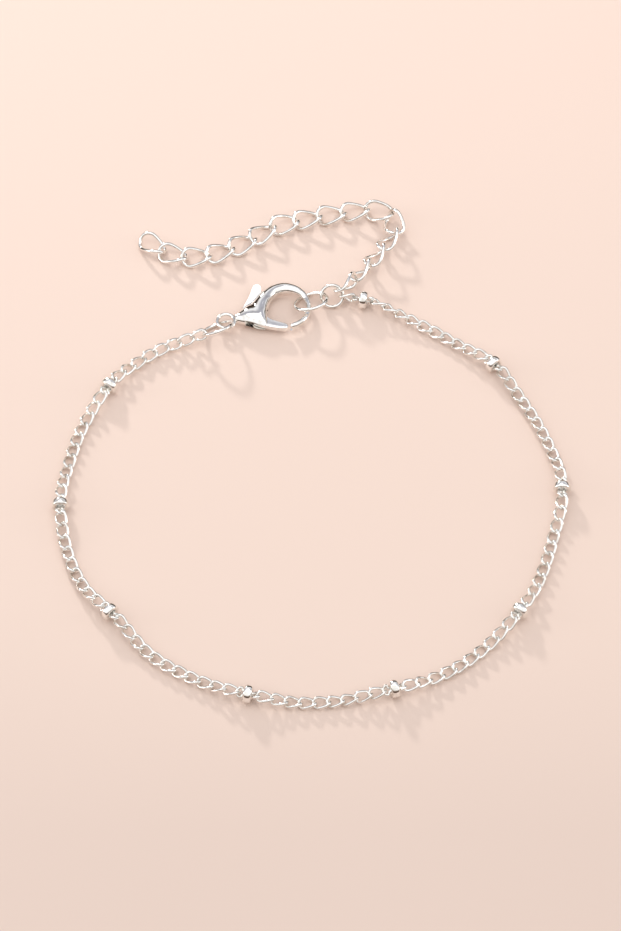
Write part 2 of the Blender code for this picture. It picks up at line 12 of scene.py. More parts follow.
import bpy
import numpy as np
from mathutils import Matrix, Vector


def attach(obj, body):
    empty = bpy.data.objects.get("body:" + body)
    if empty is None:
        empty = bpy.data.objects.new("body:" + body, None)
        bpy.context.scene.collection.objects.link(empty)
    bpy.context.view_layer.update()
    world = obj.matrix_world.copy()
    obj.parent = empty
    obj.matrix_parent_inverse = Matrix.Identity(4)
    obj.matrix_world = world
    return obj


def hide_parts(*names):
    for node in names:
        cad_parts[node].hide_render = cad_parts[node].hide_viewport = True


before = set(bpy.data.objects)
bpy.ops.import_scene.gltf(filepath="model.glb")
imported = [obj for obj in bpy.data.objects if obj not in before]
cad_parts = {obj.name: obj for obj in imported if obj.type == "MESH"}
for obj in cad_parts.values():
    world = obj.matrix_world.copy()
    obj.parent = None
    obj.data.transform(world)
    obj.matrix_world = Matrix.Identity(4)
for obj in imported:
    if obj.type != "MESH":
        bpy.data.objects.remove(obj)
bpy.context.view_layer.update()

MM = 0.001
LOG = logging.getLogger("bracelet")
Array = np.ndarray


class Slot(Enum):
    """The record's material slots."""

    CHAIN = "chain_silver"
    BEAD = "bead_silver"
    RING = "ring_silver"
    CLASP = "clasp_silver"
    EXTENDER = "extender_silver"


class Body(Enum):
    """The bodies that pieces ride on."""

    BRACELET = "bracelet"
    LEVER = "lever"


def linear(code: str) -> tuple[float, float, float, float]:
    """Turns an sRGB hex colour such as #F4F1EC into linear red, green, blue and alpha."""
    shares = [int(code[start : start + 2], 16) / 255 for start in (1, 3, 5)]
    red, green, blue = (
        share / 12.92 if share <= 0.04045 else ((share + 0.055) / 1.055) ** 2.4
        for share in shares
    )
    return red, green, blue, 1.0


def add_node(
    tree: bpy.types.NodeTree, kind: str, values: dict | None = None, links: dict | None = None, **settings
) -> bpy.types.Node:
    """Adds one node with its settings and links.

    Args:
        tree: the node tree that gets the node.
        kind: the node's type, such as ShaderNodeTexNoise.
        values: input names or numbers, each with the constant it is set to.
        links: input names or numbers, each with the output socket that feeds it.
        **settings: attributes of the node itself.

    Returns:
        The new node.
    """
    node = tree.nodes.new(kind)
    for name, value in settings.items():
        setattr(node, name, value)
    for name, value in (values or {}).items():
        node.inputs[name].default_value = value
    for name, socket in (links or {}).items():
        tree.links.new(socket, node.inputs[name])
    return node


def set_stops(ramp: bpy.types.ColorRamp, stops: tuple[tuple[float, str], ...]) -> None:
    """Gives a colour ramp these places and sRGB hex colours."""
    ramp.elements.remove(ramp.elements[-1])
    ramp.elements[0].position = stops[0][0]
    for order, (position, colour) in enumerate(stops):
        stop = ramp.elements.new(position) if order else ramp.elements[0]
        stop.color = linear(colour)


def add_noise(
    tree: bpy.types.NodeTree, place: bpy.types.NodeSocket, size_mm: float, detail: float, **values: float
) -> bpy.types.Node:
    """Adds noise whose pattern has this size, read from a socket of coordinates."""
    values = {"Scale": 1 / (size_mm * MM), "Detail": detail, **values}
    return add_node(tree, "ShaderNodeTexNoise", values, {"Vector": place})


def new_material(name: str) -> tuple[bpy.types.Material, bpy.types.NodeTree, bpy.types.Node]:
    """Makes a material. Returns it with its nodes and its shader."""
    material = bpy.data.materials.new(name)
    material.use_nodes = True
    return material, material.node_tree, material.node_tree.nodes["Principled BSDF"]


@dataclass(frozen=True)
class SilverPlate:
    """Bright silver plate over brass, tumbled to a mirror polish.

    It gives the eye a near-white metal whose highlights run sharp, broken a little by the faint
    ripple that tumbling leaves and by hairlines along drawn wire.
    """

    name: str
    bright: str = "#FBFAF7"
    dull: str = "#E2DDD6"
    roughness: float = 0.07
    worn_roughness: float = 0.16
    patch_mm: float = 0.9
    ripple_mm: float = 0.5
    ripple: float = 0.10
    ripple_depth_mm: float = 0.02
    hairline_mm: float = 0.0
    hairline: float = 0.0
    hairline_depth_mm: float = 0.01
    # Where the patches turn from dull to bright, and from worn to polished, in the noise
    shade_range: tuple[float, float] = (0.30, 0.55)
    polish_range: tuple[float, float] = (0.35, 0.70)

    def material(self) -> bpy.types.Material:
        """Builds the plate's shader.

        Returns:
            The material, named for the metal.
        """
        material, tree, shader = new_material(self.name)
        shader.inputs["Metallic"].default_value = 1.0
        place = add_node(tree, "ShaderNodeTexCoord")
        patches = add_noise(tree, place.outputs["Object"], self.patch_mm, 3.0, Roughness=0.55)
        shades = add_node(tree, "ShaderNodeValToRGB", links={"Fac": patches.outputs["Fac"]})
        set_stops(shades.color_ramp, tuple(zip(self.shade_range, (self.dull, self.bright))))
        worn, polished = self.polish_range
        rough = add_node(
            tree,
            "ShaderNodeMapRange",
            {"From Min": worn, "From Max": polished, "To Min": self.worn_roughness, "To Max": self.roughness},
            {"Value": patches.outputs["Fac"]},
        )
        ripple = add_noise(tree, place.outputs["Object"], self.ripple_mm, 2.0)
        relief = {"Strength": self.ripple, "Distance": self.ripple_depth_mm * MM}
        bump = add_node(tree, "ShaderNodeBump", relief, {"Height": ripple.outputs["Fac"]})
        if self.hairline > 0:
            bump = self.add_hairlines(tree, place, bump)
        tree.links.new(shades.outputs["Color"], shader.inputs["Base Color"])
        tree.links.new(rough.outputs["Result"], shader.inputs["Roughness"])
        tree.links.new(bump.outputs["Normal"], shader.inputs["Normal"])
        return material

    def add_hairlines(
        self, tree: bpy.types.NodeTree, place: bpy.types.Node, below: bpy.types.Node
    ) -> bpy.types.Node:
        """Adds the lines that a drawing die leaves along the wire.

        Args:
            tree: the material's nodes.
            place: the texture coordinates.
            below: the bump node that these lines lie on.

        Returns:
            The bump node with both.
        """
        # The map is in millimetres. A hairline is twenty times as long as it is wide
        scale = {"Scale": (0.05 / self.hairline_mm, 1 / self.hairline_mm, 1.0)}
        stretched = add_node(tree, "ShaderNodeMapping", scale, {"Vector": place.outputs["UV"]})
        lines = add_node(
            tree, "ShaderNodeTexNoise", {"Scale": 1.0, "Detail": 1.0}, {"Vector": stretched.outputs["Vector"]}
        )
        relief = {"Strength": self.hairline, "Distance": self.hairline_depth_mm * MM}
        links = {"Height": lines.outputs["Fac"], "Normal": below.outputs["Normal"]}
        return add_node(tree, "ShaderNodeBump", relief, links)


@dataclass(frozen=True)
class PaperSweep:
    """Matt peach paper under and behind the bracelet, with a faint mottle.

    It gives the eye a pale surface, even but for painted shade that makes it a little darker towards the viewer,
    standing in for the light falling off.
    """

    # Painted shade: how far back each shade lies, as a share of the stretch from near_mm to far_mm; the darker
    # near shades stand in for light falling off towards the viewer
    shades: tuple[tuple[float, str], ...] = ((0.0, "#DFCABE"), (0.32, "#E9D3C6"), (1.0, "#ECD5C8"))
    near_mm: float = -50.0
    far_mm: float = 45.0
    roughness: float = 0.75
    mottle_mm: float = 60.0
    mottle: float = 0.12
    sheen: float = 0.2

    def material(self) -> bpy.types.Material:
        """Builds the paper's shader.

        Returns:
            The material.
        """
        material, tree, shader = new_material("peach_paper")
        shader.inputs["Roughness"].default_value = self.roughness
        shader.inputs["Specular IOR Level"].default_value = self.sheen
        place = add_node(tree, "ShaderNodeTexCoord")
        mottle = add_noise(tree, place.outputs["Object"], self.mottle_mm, 1.0)
        parts = add_node(tree, "ShaderNodeSeparateXYZ", links={"Vector": place.outputs["Object"]})
        # Painted shade: this share rises from near_mm to far_mm, so the paper is painted darker towards the
        # viewer
        depth = add_node(
            tree,
            "ShaderNodeMapRange",
            {"From Min": self.near_mm * MM, "From Max": self.far_mm * MM, "To Max": 1 - self.mottle},
            {"Value": parts.outputs["Y"]},
        )
        sums = {0: mottle.outputs["Fac"], 2: depth.outputs["Result"]}
        share = add_node(tree, "ShaderNodeMath", {1: self.mottle}, sums, operation="MULTIPLY_ADD")
        shades = add_node(tree, "ShaderNodeValToRGB", links={"Fac": share.outputs[0]})
        set_stops(shades.color_ramp, self.shades)
        tree.links.new(shades.outputs["Color"], shader.inputs["Base Color"])
        return material


DRAWN = {"hairline_mm": 0.03, "hairline": 0.10}
CHAIN_PLATE = SilverPlate("silver_plated_chain_wire", roughness=0.09, ripple=0.08, **DRAWN)
EXTENDER_PLATE = SilverPlate(
    "silver_plated_extender_wire", roughness=0.08, ripple=0.08, hairline_mm=0.03, hairline=0.12
)
RING_PLATE = SilverPlate("silver_plated_ring_wire", roughness=0.07, ripple=0.06, **DRAWN)
BEAD_PLATE = SilverPlate("silver_plated_bead", roughness=0.06, ripple=0.12, patch_mm=0.7)
CLASP_PLATE = SilverPlate(
    "silver_plated_cast_clasp", roughness=0.04, worn_roughness=0.09, ripple=0.12, ripple_mm=1.1
)
LEVER_PLATE = SilverPlate(
    "silver_plated_stamped_lever", dull="#EFEDE9", roughness=0.10, worn_roughness=0.2, ripple=0.1
)


def unit(vectors: Array) -> Array:
    """The same vectors with length 1."""
    return vectors / np.linalg.norm(vectors, axis=-1, keepdims=True)


def heading(angle: float) -> Array:
    """The direction of an angle over the surface."""
    return np.array([math.cos(angle), math.sin(angle)])


def round_angles(count: int) -> Array:
    """Even angles once round, from 0."""
    return np.arange(count) * 2 * math.pi / count


def superellipse(count: int, exponent: float) -> list[Array]:
    """x and y of a superellipse of half width 1: cosine and sine to the power of 2 / exponent, signs kept."""
    angles = round_angles(count)
    return [np.sign(wave) * np.abs(wave) ** (2 / exponent) for wave in (np.cos(angles), np.sin(angles))]


def distances(points: Array) -> Array:
    """How far along a line each of its points is."""
    return np.concatenate([[0.0], np.cumsum(np.linalg.norm(np.diff(points, axis=0), axis=1))])


def drape(distance: Array, length: float, rise: float) -> Array:
    """Height over the resting chain near something that lifts it: half a cosine wave."""
    share = np.clip(np.abs(distance) / length, 0, 1)
    return rise * (0.5 + 0.5 * np.cos(math.pi * share))


def rounded_route(points: Array, samples: int = 24) -> Array:
    """A curve through the points of an open route.

    Between two points it is the cubic whose slope at each is half the step between that point's
    neighbours.

    Args:
        points: the route's points, one row each.
        samples: how many places each stretch is read at.

    Returns:
        The points of the curve.
    """
    ends = np.vstack([2 * points[0] - points[1], points, 2 * points[-1] - points[-2]])
    share = np.linspace(0, 1, samples, endpoint=False)[None, :, None]
    a, b, c, d = (ends[first : len(ends) - 3 + first, None] for first in range(4))
    first = 2 * b + (c - a) * share
    second = (2 * a - 5 * b + 4 * c - d) * share**2
    third = (3 * b - 3 * c + d - a) * share**3
    curve = ((first + second + third) / 2).reshape(-1, points.shape[1])
    return np.vstack([curve, points[-1:]])


def rounded_loop(points: Array, samples: int = 8) -> Array:
    """A closed curve through points, by the same cubic as an open route."""
    wrapped = np.vstack([points[-1:], points, points[:2]])
    curve = rounded_route(wrapped, samples)
    return curve[samples : samples * (len(points) + 1)]


def even_steps(points: Array, steps: int) -> Array:
    """A closed line read again at even distances along it."""
    closed = np.vstack([points, points[:1]])
    far = distances(closed)
    places = np.arange(steps) / steps * far[-1]
    return np.column_stack([np.interp(places, far, column) for column in closed.T])


def cut_corners(points: Array, times: int = 3) -> Array:
    """A closed outline with its corners cut again and again, each side at its quarter points."""
    for _ in range(times):
        after = np.roll(points, -1, axis=0)
        points = np.stack([0.75 * points + 0.25 * after, 0.25 * points + 0.75 * after], axis=1)
        points = points.reshape(-1, 2)
    return points


def tube(centres: Array, inward: Array, radius: Array | float, sides: int) -> Array:
    """A round wire along a closed path.

    Each point is the path's point plus the radius times (the cosine of its angle along the
    inward direction plus the sine along the direction square to both inward and path).

    Args:
        centres: the path's points, one row each.
        inward: a direction across the path at each point.
        radius: the wire's radius, one for all or one for each point.
        sides: how many points go round the wire.

    Returns:
        A grid of points: along the path, round the wire.
    """
    along = unit(np.roll(centres, -1, axis=0) - np.roll(centres, 1, axis=0))
    inward = unit(inward - along * (inward * along).sum(axis=-1, keepdims=True))
    across = np.cross(along, inward)
    angles = round_angles(sides)
    reach = np.broadcast_to(np.asarray(radius, float), len(centres))[:, None, None]
    circle = np.cos(angles)[None, :, None] * inward[:, None] + np.sin(angles)[None, :, None] * across[:, None]
    return centres[:, None] + reach * circle


def grid_faces(rows: int, columns: int) -> Array:
    """The quads of a grid that is closed both ways, as indices of its points."""
    row, column = np.meshgrid(np.arange(rows), np.arange(columns), indexing="ij")
    below = (row + 1) % rows
    beside = (column + 1) % columns
    corners = [row * columns + column, row * columns + beside, below * columns + beside, below * columns + column]
    return np.stack(corners, axis=-1).reshape(-1, 4)


def grid_map(grid: Array) -> Array:
    """Millimetres along and across a grid, for each corner of each of its quads.

    Args:
        grid: points of one surface, closed both ways.

    Returns:
        One row for each quad's corner, in the order of grid_faces.
    """
    rows, columns = grid.shape[:2]
    along = np.linalg.norm(np.roll(grid, -1, axis=0) - grid, axis=-1).mean(axis=1) / MM
    across = np.linalg.norm(np.roll(grid, -1, axis=1) - grid, axis=-1).mean(axis=0) / MM
    far = np.concatenate([[0.0], np.cumsum(along)])
    wide = np.concatenate([[0.0], np.cumsum(across)])
    row, column = np.meshgrid(np.arange(rows), np.arange(columns), indexing="ij")
    places = [(row, column), (row, column + 1), (row + 1, column + 1), (row + 1, column)]
    return np.stack([np.stack([far[r], wide[c]], axis=-1) for r, c in places], axis=2).reshape(-1, 2)


def volume_of(points: Array, faces: Array) -> float:
    """Signed volume inside quads, positive where they face outwards."""
    a, b, c, d = (points[faces[:, corner]] for corner in range(4))
    halves = np.cross(b - a, c - a) + np.cross(c - a, d - a)
    return float((halves * (a + b + c + d)).sum())


def mesh_from_grids(name: str, grids: Array) -> bpy.types.Object:
    """One object of many like surfaces, each closed both ways.

    Args:
        name: the object's name.
        grids: points of every surface: surface, row, column, x y z.

    Returns:
        The object, smooth and facing outwards, with its map in millimetres.
    """
    count, rows, columns = grids.shape[:3]
    quads = grid_faces(rows, columns)
    if volume_of(grids[0].reshape(-1, 3), quads) < 0:
        grids = grids[:, :, ::-1]
    faces = (quads[None] + (np.arange(count) * rows * columns)[:, None, None]).reshape(-1, 4)
    mesh = bpy.data.meshes.new(name)
    mesh.vertices.add(count * rows * columns)
    mesh.vertices.foreach_set("co", grids.astype(np.float32).ravel())
    mesh.loops.add(faces.size)
    mesh.loops.foreach_set("vertex_index", faces.astype(np.int32).ravel())
    mesh.polygons.add(len(faces))
    mesh.polygons.foreach_set("loop_start", np.arange(0, faces.size, 4, dtype=np.int32))
    mesh.update(calc_edges=True)
    layer = mesh.uv_layers.new(name="millimetres")
    layer.data.foreach_set("uv", np.tile(grid_map(grids[0]), (count, 1)).astype(np.float32).ravel())
    mesh.shade_smooth()
    return add_object(name, mesh)


def add_object(name: str, data: bpy.types.ID) -> bpy.types.Object:
    """Links a mesh, lamp or camera into the scene at the origin, unturned."""
    piece = bpy.data.objects.new(name, data)
    bpy.context.scene.collection.objects.link(piece)
    return piece


def dress(
    piece: bpy.types.Object, material: bpy.types.Material, slot: Slot, body: Body, *nodes: str
) -> bpy.types.Object:
    """Gives a piece its finish and its body, and hides the solids that it stands for.

    Args:
        piece: the finished piece.
        material: its material.
        slot: the record's slot that the finish belongs to; not used.
        body: the body that it moves with.
        *nodes: the solids that it replaces.

    Returns:
        The same piece.
    """
    piece.data.materials.clear()
    piece.data.materials.append(material)
    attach(piece, body.value)
    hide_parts(*nodes)
    LOG.info("%s: %d faces, %s", piece.name, len(piece.data.polygons), material.name)
    return piece


@dataclass(frozen=True)
class Link:
    """A curb link: an oval of wire whose plane turns from one end to the other."""

    length: float
    width: float
    wire: float
    drawn_wire: float
    play: float
    turn: float = math.radians(-45)
    facet: float = math.cos(math.pi / 5)

    @property
    def reach(self) -> float:
        """From the link's middle to the wire's middle at an end."""
        return (self.length - self.wire) / 2

    @property
    def half_width(self) -> float:
        """From the link's axis to the wire's middle at a side."""
        return (self.width - self.wire) / 2

    @property
    def pitch(self) -> float:
        """From one bearing point to the next: the wire in the solids has flat sides."""
        return self.length - self.wire - self.wire * self.facet - self.play

    def outline(self, steps: int) -> Array:
        """The flat centre line: an oval whose ends are half round, read at even steps.

        Args:
            steps: number of points.

        Returns:
            x and y of each point, anticlockwise.
        """
        straight = self.reach - self.half_width
        arc = math.pi * self.half_width
        round_trip = 2 * arc + 4 * straight
        far = (np.arange(steps) + 0.5) / steps * round_trip
        lap, side = far % (round_trip / 2), np.where(far < round_trip / 2, 1.0, -1.0)
        angle = np.clip(lap / self.half_width, 0, math.pi) - math.pi / 2
        x = straight + self.half_width * np.cos(angle) - np.clip(lap - arc, 0, None)
        y = self.half_width * np.sin(angle)
        return np.column_stack([x * side, y * side])

    def wire_grid(self, steps: int, sides: int) -> Array:
        """The link's surface about its own middle, along X.

        The flat oval is turned about X by the twist times x over the reach, and round wire
        follows it.

        Args:
            steps: points along the wire.
            sides: points round it.

        Returns:
            A grid of points, closed both ways.
        """
        flat = self.outline(steps)
        turn = self.turn * flat[:, 0] / self.reach
        centres = np.column_stack([flat[:, 0], flat[:, 1] * np.cos(turn), flat[:, 1] * np.sin(turn)])
        along = unit(np.roll(flat, -1, axis=0) - np.roll(flat, 1, axis=0))
        inward = np.column_stack([-along[:, 1], along[:, 0] * np.cos(turn), along[:, 0] * np.sin(turn)])
        return tube(centres, inward, self.drawn_wire / 2, sides)


@dataclass(frozen=True)
class WaistedLink(Link):
    """A longer link pinched in the middle, where a bead sits on it."""

    waist_x: float = 0.0
    waist_y: float = 0.0

    def outline(self, steps: int) -> Array:
        """The flat centre line: two round eyes joined by a waist, smoothed by a cubic."""
        straight = self.reach - self.half_width
        angles = np.linspace(-math.pi / 2, math.pi / 2, 5)
        eye = np.column_stack([straight + self.half_width * np.cos(angles), self.half_width * np.sin(angles)])
        waist = np.array([[self.waist_x, self.waist_y], [0.0, self.waist_y], [-self.waist_x, self.waist_y]])
        corners = np.vstack([eye, waist, -eye, -waist])
        return even_steps(rounded_loop(corners), steps)


def step_along(curve: Array, strides: Array) -> Array:
    """Points on a curve whose straight distances from one to the next are the strides."""
    places = [curve[0]]
    start = 0
    for stride in strides:
        rest = np.linalg.norm(curve[start:] - places[-1], axis=1)
        beyond = np.flatnonzero(rest >= stride)
        if len(beyond) == 0:
            places.append(curve[-1] + unit(curve[-1] - curve[-2]) * (stride - rest[-1]))
            start = len(curve) - 1
            continue
        after = beyond[0]
        share = (stride - rest[after - 1]) / (rest[after] - rest[after - 1])
        here = curve[start + after - 1]
        places.append(here + share * (curve[start + after] - here))
        start = start + after - 1
    return np.array(places)


def link_frames(joints: Array, rolls: Array) -> tuple[Array, Array]:
    """Axes and middles of the links that reach from each joint to the next.

    Args:
        joints: bearing points, one row each.
        rolls: how far each link is turned about its own length, in radians.

    Returns:
        The axes (along, left, up) of each link as rows, and each link's middle.
    """
    along = unit(joints[1:] - joints[:-1])
    left = unit(np.cross(np.array([0.0, 0.0, 1.0]), along))
    above = np.cross(along, left)
    cosine, sine = np.cos(rolls)[:, None], np.sin(rolls)[:, None]
    turned = cosine * left + sine * above
    return np.stack([along, turned, np.cross(along, turned)], axis=1), (joints[1:] + joints[:-1]) / 2


def fading_rolls(count: int, first: float, rolled: int = 6) -> Array:
    """Roll of each link: the first turns to meet its ring, and the turn fades over a few links."""
    return first * np.clip(1 - np.arange(count) / rolled, 0, 1)


def lifted(heights: Array, grid: Array, rolls: Array, room: float) -> Array:
    """Heights of the joints, raised where a rolled link beside them needs more.

    Args:
        heights: height of each joint.
        grid: one link's surface about its own middle.
        rolls: each link's roll, in radians.
        room: how far the links stay off the surface.

    Returns:
        The heights, none under what the links beside it need.
    """
    left, above = grid[..., 1].ravel(), grid[..., 2].ravel()
    needed = room - (np.outer(np.sin(rolls), left) + np.outer(np.cos(rolls), above)).min(axis=1)
    return np.maximum(heights, np.maximum(np.append(needed, 0.0), np.append(0.0, needed)))


def lay_links(grid: Array, axes: Array, middles: Array) -> Array:
    """Copies of one link, each in its own axes, lifted where it would dip under the surface.

    Args:
        grid: the link's surface about its own middle.
        axes: each copy's axes.
        middles: each copy's middle.

    Returns:
        Points of every copy: copy, row, column, x y z.
    """
    placed = np.einsum("rca,kab->krcb", grid, axes) + middles[:, None, None]
    dip = np.minimum(placed[..., 2].min(axis=(1, 2)), 0.0)
    placed[..., 2] -= dip[:, None, None]
    return placed


def lathe(profile: Array, turns: int) -> Array:
    """A closed profile (x, radius) carried round the X axis."""
    angles = round_angles(turns)
    x = np.broadcast_to(profile[:, 0], (turns, len(profile)))
    radius = profile[:, 1][None]
    return np.stack([x, radius * np.cos(angles)[:, None], radius * np.sin(angles)[:, None]], axis=-1)


@dataclass
class JumpRing:
    """A round ring of wire, cut and pushed shut, that leans about one level line."""

    name: str
    diameter: float
    wire: float
    place: Array
    level_angle: float
    lean: float
    seam: float
    seam_gap: float = 0.03 * MM
    seam_depth: float = 0.35
    crowding: float = 40.0
    samples: int = 4096
    steps: int = 128
    sides: int = 20

    def __post_init__(self) -> None:
        """Works out the ring's axes and its middle."""
        self.radius = (self.diameter - self.wire) / 2
        self.level = np.array([math.cos(self.level_angle), math.sin(self.level_angle), 0.0])
        flat = np.array([-math.sin(self.level_angle), math.cos(self.level_angle), 0.0])
        self.rise = flat * math.cos(self.lean) + np.array([0.0, 0.0, math.sin(self.lean)])
        low = self.radius * abs(math.sin(self.lean)) + self.wire / 2
        self.middle = np.array([self.place[0], self.place[1], low])

    def bearing(self, angle: float, play: float) -> Array:
        """The point inside the ring that a link hooked on at this angle bears on."""
        turn = angle - self.level_angle
        radial = self.level * math.cos(turn) + self.rise * math.sin(turn)
        return self.middle + radial * (self.radius - self.wire / 2 - play / 2)

    def from_seam(self, angles: Array) -> Array:
        """How far along the wire each angle is from the seam."""
        return np.abs((angles - self.seam + math.pi) % (2 * math.pi) - math.pi) * self.radius

    def angles(self) -> Array:
        """Angles of the points along the wire, closest together at the seam."""
        even = np.linspace(0, 2 * math.pi, self.samples, endpoint=False)
        density = 1 + self.crowding * np.exp(-((self.from_seam(even) / (2 * self.seam_gap)) ** 2))
        share = np.cumsum(density) / density.sum()
        return np.interp(np.arange(self.steps) / self.steps, share, even)

    def build(self, material: bpy.types.Material) -> bpy.types.Object:
        """Makes the ring: round wire along a circle, narrowed where its two ends meet.

        Args:
            material: the ring's finish.

        Returns:
            The ring.
        """
        angles = self.angles()
        outward = np.outer(np.cos(angles), self.level) + np.outer(np.sin(angles), self.rise)
        groove = 1 - self.seam_depth * np.exp(-((self.from_seam(angles) / self.seam_gap) ** 2))
        grid = tube(self.middle + outward * self.radius, -outward, self.wire / 2 * groove, self.sides)
        piece = mesh_from_grids(self.name + "_wire", grid[None])
        return dress(piece, material, Slot.RING, Body.BRACELET, self.name)


@dataclass
class Bead:
    """A drilled disc with a full round rim and a bore that the link's waist fills."""

    diameter: float = 2.00 * MM
    thickness: float = 0.90 * MM
    bore: float = 0.85 * MM
    roundness: float = 2.6
    rings: int = 64
    steps: int = 40

    def profile(self) -> Array:
        """The section of half the disc: a closed superellipse between bore and rim.

        Returns:
            x along the bore and radius, one row for each point.
        """
        x, radius = superellipse(self.steps, self.roundness)
        middle, reach = (self.diameter + self.bore) / 4, (self.diameter - self.bore) / 4
        return np.column_stack([self.thickness / 2 * x, middle + reach * radius])

    def build(self, order: int, axes: Array, middle: Array, material: bpy.types.Material) -> bpy.types.Object:
        """Makes one bead on its link.

        Args:
            order: the bead's number along the chain.
            axes: its link's axes.
            middle: its link's middle.
            material: the bead's finish.

        Returns:
            The bead.
        """
        grid = lathe(self.profile(), self.rings) @ axes + middle
        piece = mesh_from_grids(f"bead_{order}_disc", grid[None])
        return dress(piece, material, Slot.BEAD, Body.BRACELET, f"bead_{order}")


@dataclass
class MainChain:
    """The fine curb chain with its nine beads, from the join ring round to the end ring."""

    link: Link = Link(2.20 * MM, 1.48 * MM, 0.35 * MM, 0.34 * MM, 0.05 * MM)
    held: WaistedLink = WaistedLink(
        2.90 * MM, 1.40 * MM, 0.35 * MM, 0.34 * MM, 0.05 * MM, waist_x=0.60 * MM, waist_y=0.20 * MM
    )
    bead: Bead = field(default_factory=Bead)
    bead_shares: tuple[float, ...] = (0.018, 0.127, 0.255, 0.362, 0.478, 0.582, 0.698, 0.805, 0.919)
    resting_room: float = 0.03 * MM
    drape_length: float = 4.5 * MM
    start_angle: float = 0.0
    end_angle: float = math.radians(205)
    start_roll: float = math.radians(-75)
    end_roll: float = math.radians(60)
    ring_play: float = 0.10 * MM
    loose_roll: float = math.radians(6)
    seed: int = 7
    eases: tuple[float, float] = (0.9, 1.1)
    halvings: int = 40
    steps: int = 40
    sides: int = 12
    route: tuple[tuple[float, float], ...] = (
        (7.0, 19.9), (10.5, 18.0), (14.2, 15.7), (17.8, 13.1), (20.7, 10.9), (22.8, 7.5),
        (24.9, 3.6), (26.6, -0.7), (27.6, -4.8), (27.5, -8.7), (26.5, -12.4), (25.5, -16.2),
        (23.7, -20.7), (20.7, -25.0), (16.3, -29.2), (11.3, -31.9), (5.9, -33.4), (-0.1, -34.2),
        (-5.8, -33.6), (-11.0, -31.9), (-17.0, -28.4), (-21.0, -23.6), (-24.5, -19.8),
        (-26.5, -15.4), (-27.5, -10.9), (-27.7, -6.7), (-27.0, -2.7), (-25.8, 1.9), (-23.6, 6.5),
        (-21.1, 10.1), (-16.8, 13.4),
    )

    def bead_links(self, count: int) -> list[int]:
        """Index of each link that carries a bead, nearest its share of the chain's length."""
        total = (count - len(self.bead_shares)) * self.link.pitch + len(self.bead_shares) * self.held.pitch
        before = [
            share * total - order * self.held.pitch - self.held.pitch / 2
            for order, share in enumerate(self.bead_shares)
        ]
        return [max(1, round(far / self.link.pitch) + order) for order, far in enumerate(before)]

    def rolls(self, count: int) -> Array:
        """Roll of each link, from the rings' turns at both ends to none."""
        return fading_rolls(count, self.start_roll) + fading_rolls(count, self.end_roll)[::-1]

    def joints(self, start: Array, end: Array) -> tuple[Array, list[int]]:
        """Bearing points of the chain's links and the links that carry beads.

        The links step along the route with one ease on every pitch, found by halving, so that
        the last one ends on the end ring.

        Args:
            start: bearing point on the join ring.
            end: bearing point on the end ring.

        Returns:
            The joints, one row each, and the indices of the bead links.
        """
        curve = rounded_route(np.vstack([start[:2], np.array(self.route) * MM, end[:2]]))
        length = np.linalg.norm(np.diff(curve, axis=0), axis=1).sum()
        extra = len(self.bead_shares) * (self.held.pitch - self.link.pitch)
        count = math.ceil((length - extra) / self.link.pitch)
        beads = self.bead_links(count)
        pitches = np.full(count, self.link.pitch)
        pitches[beads] = self.held.pitch
        grid = self.link.wire_grid(self.steps, self.sides)
        low = self.resting_room - grid[..., 2].min()
        along = np.concatenate([[0.0], np.cumsum(pitches)])
        heights = low + drape(along, self.drape_length, start[2] - low)
        heights = np.maximum(heights, low + drape(along - along[-1], self.drape_length, end[2] - low))
        for bead in beads:
            middle = (along[bead] + along[bead + 1]) / 2
            beyond = np.maximum(0, np.abs(along - middle) - self.held.pitch / 2)
            rise = self.bead.diameter / 2 - low
            heights = np.maximum(heights, low + drape(beyond, self.drape_length, rise))
        heights = lifted(heights, grid, self.rolls(count), self.resting_room)
        heights[0], heights[-1] = start[2], end[2]
        shortest, longest = self.eases
        for _ in range(self.halvings):
            ease = (shortest + longest) / 2
            flat = step_along(curve, np.sqrt((pitches * ease) ** 2 - np.diff(heights) ** 2))
            if np.dot(flat[-1] - end[:2], curve[-1] - curve[-2]) > 0:
                longest = ease
            else:
                shortest = ease
        flat[-1] = end[:2]
        return np.column_stack([flat, heights]), beads

    def build(
        self, join_ring: JumpRing, end_ring: JumpRing, wire: bpy.types.Material, bright: bpy.types.Material
    ) -> None:
        """Makes both halves of the chain and the beads.

        Args:
            join_ring: the ring that the first link hangs on.
            end_ring: the ring that the last link hangs on.
            wire: the links' finish.
            bright: the beads' finish.
        """
        joints, beads = self.joints(
            join_ring.bearing(self.start_angle, self.ring_play), end_ring.bearing(self.end_angle, self.ring_play)
        )
        count = len(joints) - 1
        loose = np.random.default_rng(self.seed).normal(0.0, self.loose_roll, count)
        loose[[0, -1]] = 0.0
        loose[beads] = 0.0
        axes, middles = link_frames(joints, self.rolls(count) + loose)
        half = beads[len(beads) // 2]
        carries = np.isin(np.arange(count), beads)
        for name, chosen in (("chain_right", np.arange(count) < half), ("chain_left", np.arange(count) >= half)):
            grids = [
                lay_links(link.wire_grid(self.steps, self.sides), axes[chosen & has], middles[chosen & has])
                for link, has in ((self.link, ~carries), (self.held, carries))
            ]
            piece = mesh_from_grids(name + "_links", np.concatenate(grids))
            dress(piece, wire, Slot.CHAIN, Body.BRACELET, name)
        for order, index in enumerate(beads, start=1):
            self.bead.build(order, axes[index], middles[index], bright)


